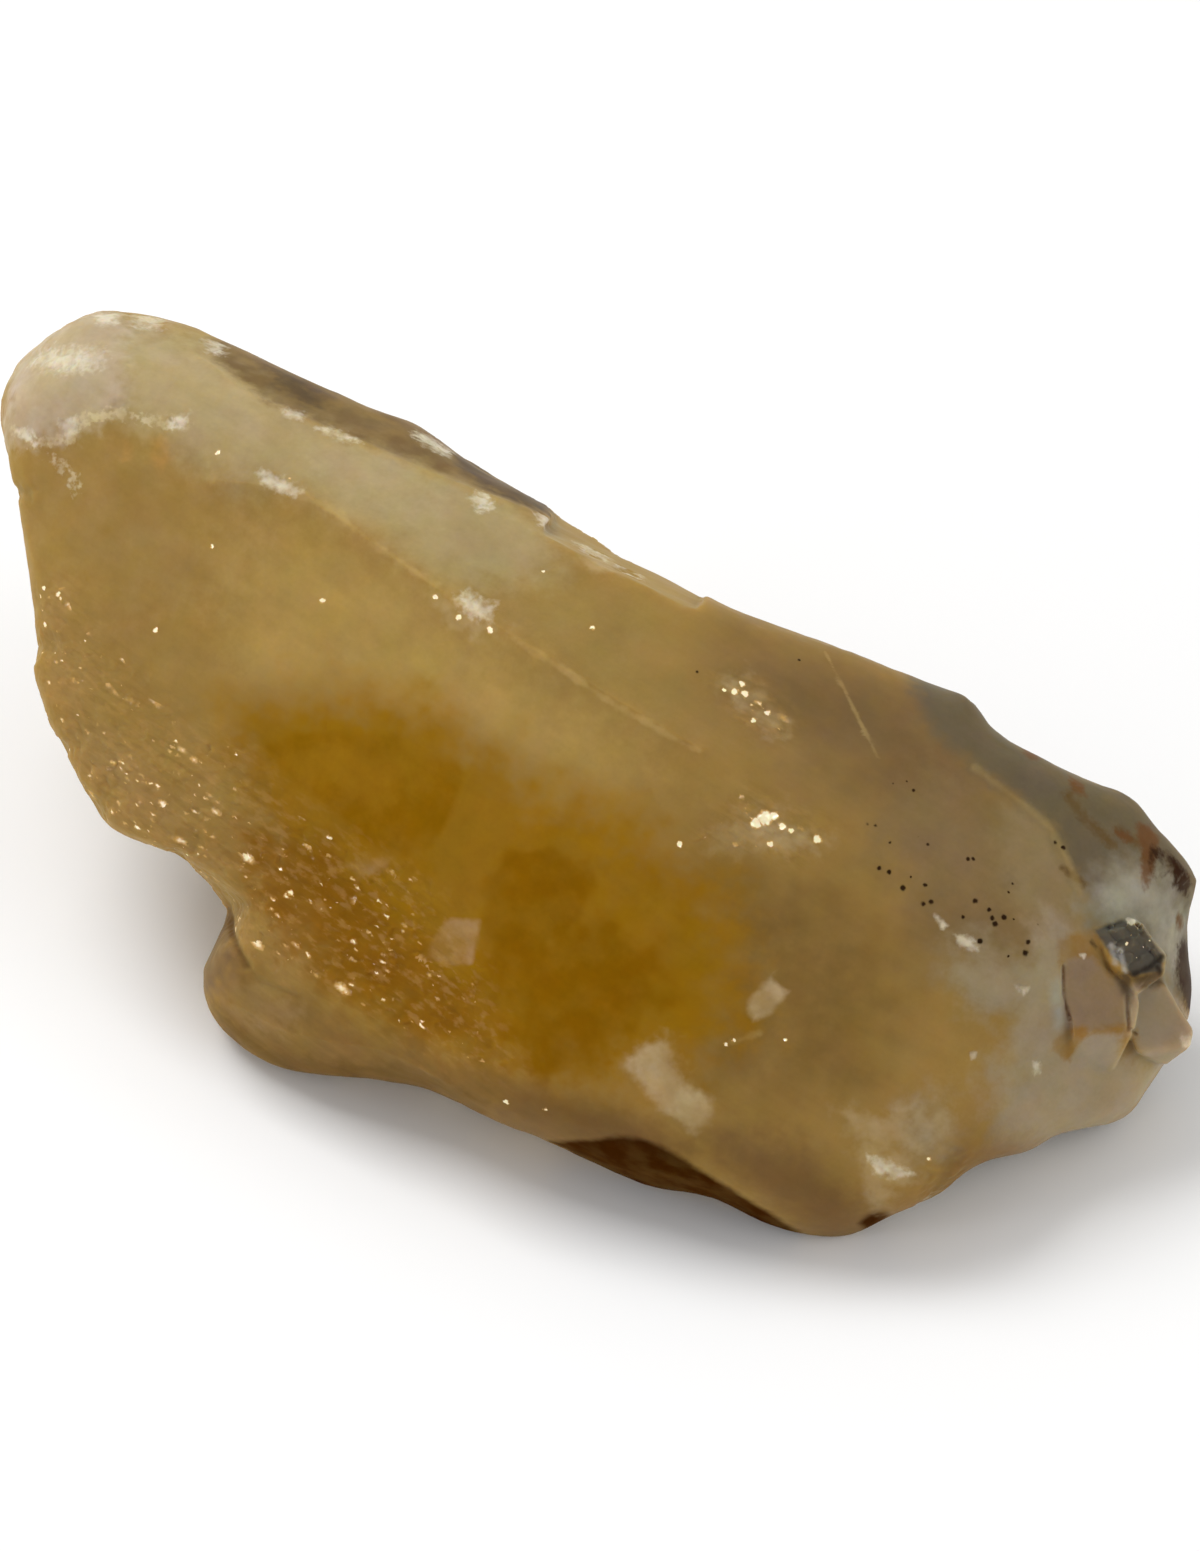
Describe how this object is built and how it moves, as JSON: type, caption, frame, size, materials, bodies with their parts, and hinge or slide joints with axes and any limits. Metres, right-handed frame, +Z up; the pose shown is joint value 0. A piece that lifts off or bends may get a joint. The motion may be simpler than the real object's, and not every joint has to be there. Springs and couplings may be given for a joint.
{
  "type": "honey calcite point",
  "caption": "Rough translucent honey calcite point: a tapering natural crystal lump with a blunt frosted tip and a broken, rust-stained base, lying on a flat of its underside.",
  "frame": {"origin": "on the resting face, below the middle of the stone's bounding box", "axes": "+Z up from the resting face; +X along the stone, from the frosted tip to the broken base"},
  "size_m": [0.1584, 0.0778, 0.0626],
  "materials": {
    "honey_calcite": "satin"
  },
  "bodies": {
    "root": {"calcite_point": "honey_calcite"}
  },
  "joints": []
}
